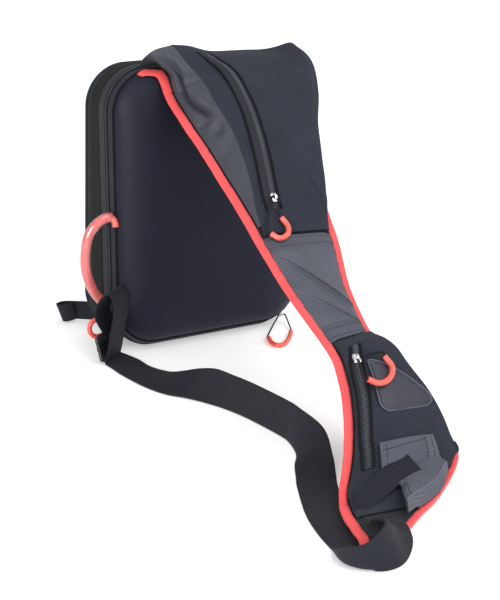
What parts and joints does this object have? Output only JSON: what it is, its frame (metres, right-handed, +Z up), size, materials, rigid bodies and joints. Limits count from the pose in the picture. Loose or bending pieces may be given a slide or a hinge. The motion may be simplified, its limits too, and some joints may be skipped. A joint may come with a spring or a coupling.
{
  "type": "fishing sling bag",
  "caption": "Soft fishing sling bag with a moulded body panel, padded shoulder strap with zipped pockets, side grip and webbing sling.",
  "frame": {"origin": "middle of the bag's base on the floor", "axes": "+Z up, +X to the right along the moulded panel, -Y out of the moulded panel towards the strap's tip"},
  "size_m": [0.344, 0.7936, 0.3762],
  "materials": {
    "moulded_shell": "moulded foam faced with matt twill",
    "black_cloth": "coated twill, matt",
    "grey_ripstop": "ripstop, slight sheen",
    "webbing": "ribbed nylon webbing",
    "red_binding": "folded binding tape",
    "zip_tape": "woven zip tape",
    "zip_coil": "nylon coil",
    "badge": "bare moulded patch",
    "red_sleeve": "soft tube, satin",
    "clear_tube": "translucent soft tube",
    "cord": "braided cord",
    "black_plastic": "moulded, satin",
    "chrome": "polished plating"
  },
  "bodies": {
    "root": {"shell_panel": "moulded_shell", "gusset": "black_cloth", "rim_piping": "black_cloth", "outer_panel": "black_cloth", "strap_pad": "black_cloth", "yoke_pocket": "black_cloth", "yoke_back": "black_cloth", "lower_pocket": "black_cloth", "yoke_bellows": "grey_ripstop", "mid_panel": "grey_ripstop", "tool_pouch": "grey_ripstop", "sling_webbing": "webbing", "tail_webbing": "webbing", "anchor_tab": "webbing", "pouch_tab": "webbing", "binding_left": "red_binding", "binding_right": "red_binding", "binding_start": "red_binding", "main_zip_front_tape": "zip_tape", "main_zip_rear_tape": "zip_tape", "yoke_zip_tape": "zip_tape", "lower_zip_tape": "zip_tape", "main_zip_coil": "zip_coil", "yoke_zip_coil": "zip_coil", "lower_zip_coil": "zip_coil", "badge_patch": "badge", "pull_sleeve_yoke": "red_sleeve", "pull_sleeve_lower": "red_sleeve", "pull_sleeve_main_right": "red_sleeve", "pull_sleeve_main_left": "red_sleeve", "handle_tube": "clear_tube", "pull_cord_yoke": "cord", "pull_cord_lower": "cord", "pull_cord_main_right": "cord", "pull_cord_main_left": "cord", "ladder_lock": "black_plastic", "slider_yoke": "chrome", "slider_lower": "chrome", "slider_main_right": "chrome", "slider_main_left": "chrome"}
  },
  "joints": []
}
